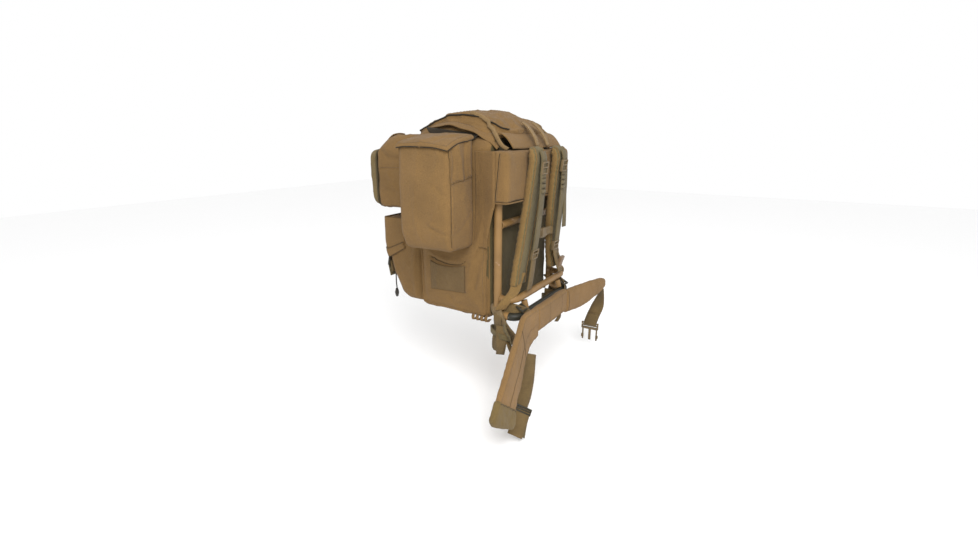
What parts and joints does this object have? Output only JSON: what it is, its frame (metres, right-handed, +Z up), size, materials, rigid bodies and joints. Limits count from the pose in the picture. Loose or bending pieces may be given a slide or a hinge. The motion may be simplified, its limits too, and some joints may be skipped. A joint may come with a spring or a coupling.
{
  "type": "external frame backpack",
  "caption": "External frame hunting backpack with a domed lid, side and outer pockets, padded shoulder straps and a padded hip belt with loose ends.",
  "frame": {"origin": "middle of the lumbar pad's face, where the wearer's back carries the pack", "axes": "+Z up, +Y toward the wearer's back, +X toward the wearer's right"},
  "size_m": [0.8068, 0.6074, 0.846],
  "materials": {
    "tan_cloth": "matt woven nylon",
    "olive_cloth": "matt woven nylon",
    "webbing": "ribbed webbing",
    "painted_tube": "satin paint",
    "dark_tube": "satin paint",
    "plastic": "moulded",
    "cord": "braided cord"
  },
  "bodies": {
    "bag_and_frame": {"anchor_webbing_left": "webbing", "anchor_webbing_right": "webbing", "bag_back_panel": "olive_cloth", "bag_floor": "tan_cloth", "bag_outer_panel": "tan_cloth", "bag_side_panel_left": "tan_cloth", "bag_side_panel_right": "tan_cloth", "belt_rail": "dark_tube", "frame_hoop": "painted_tube", "frame_lumbar_bow": "painted_tube", "frame_mid_bar": "painted_tube", "frame_post_left": "painted_tube", "frame_post_right": "painted_tube", "frame_sleeve": "tan_cloth", "lower_pocket_body": "tan_cloth", "lower_pocket_top": "tan_cloth", "lumbar_pad": "tan_cloth", "side_pocket_left": "tan_cloth", "side_pocket_right": "tan_cloth", "strap_bundle_left": "webbing", "strap_bundle_right": "webbing", "upper_pocket_gusset": "tan_cloth"},
    "lid": {"lid": "tan_cloth"},
    "side_lid_left": {"side_pocket_lid_left": "tan_cloth"},
    "side_lid_right": {"side_pocket_lid_right": "tan_cloth"},
    "upper_front": {"upper_pocket_front": "olive_cloth"},
    "flap": {"lower_pocket_flap": "tan_cloth", "flap_strap_left": "webbing", "flap_strap_right": "webbing", "drawcord": "cord", "drawcord_pull": "cord"},
    "straps": {"adjuster_webbing_left": "webbing", "adjuster_webbing_right": "webbing", "ladder_lock_lower_left": "plastic", "ladder_lock_lower_right": "plastic", "ladder_lock_upper_left": "plastic", "ladder_lock_upper_right": "plastic", "shoulder_pad_left": "olive_cloth", "shoulder_pad_right": "olive_cloth", "shoulder_webbing_left": "webbing", "shoulder_webbing_right": "webbing", "sternum_buckle": "plastic", "sternum_webbing_left": "webbing", "sternum_webbing_right": "webbing", "strap_end_buckle_left": "plastic"},
    "loose_webbing": {"loose_webbing": "webbing"},
    "wing_right": {"belt_wing_right": "tan_cloth", "wing_tip_right": "tan_cloth", "belt_webbing_right": "webbing", "belt_buckle_right": "plastic"},
    "wing_left": {"belt_wing_left": "tan_cloth"},
    "belt_free_end": {"belt_webbing_left": "webbing", "belt_buckle_left": "plastic"}
  },
  "joints": [
    {"name": "lid_open", "type": "hinge", "parent": "bag_and_frame", "child": "lid", "pos_m": [0, -0.0894, 0.498], "axis": [-1, 0, 0], "range_deg": [0, 100]},
    {"name": "side_lid_left_open", "type": "hinge", "parent": "bag_and_frame", "child": "side_lid_left", "pos_m": [-0.19, -0.2404, 0.497], "axis": [0, 1, 0], "range_deg": [0, 110]},
    {"name": "side_lid_right_open", "type": "hinge", "parent": "bag_and_frame", "child": "side_lid_right", "pos_m": [0.19, -0.2404, 0.497], "axis": [0, -1, 0], "range_deg": [0, 110]},
    {"name": "upper_front_open", "type": "hinge", "parent": "bag_and_frame", "child": "upper_front", "pos_m": [0, -0.5208, 0.285], "axis": [1, 0, 0], "range_deg": [0, 65]},
    {"name": "flap_open", "type": "hinge", "parent": "bag_and_frame", "child": "flap", "pos_m": [0, -0.5098, 0.2584], "axis": [-1, 0, 0], "range_deg": [0, 60]},
    {"name": "straps_swing", "type": "hinge", "parent": "bag_and_frame", "child": "straps", "pos_m": [0, -0.0654, 0.474], "axis": [1, 0, 0], "range_deg": [0, 35]},
    {"name": "loose_webbing_swing", "type": "hinge", "parent": "straps", "child": "loose_webbing", "pos_m": [-0.095, -0.0194, 0.404], "axis": [1, 0, 0], "range_deg": [0, 80]},
    {"name": "wing_right_wrap", "type": "hinge", "parent": "bag_and_frame", "child": "wing_right", "pos_m": [0.1085, 0, -0.008], "axis": [0, 0, 1], "range_deg": [0, 75]},
    {"name": "wing_left_wrap", "type": "hinge", "parent": "bag_and_frame", "child": "wing_left", "pos_m": [-0.1085, 0, -0.008], "axis": [0, 0, -1], "range_deg": [0, 75]},
    {"name": "belt_free_end_swing", "type": "hinge", "parent": "wing_left", "child": "belt_free_end", "pos_m": [-0.372, 0.0226, -0.03], "axis": [0, 1, 0], "range_deg": [-35, 60]}
  ]
}
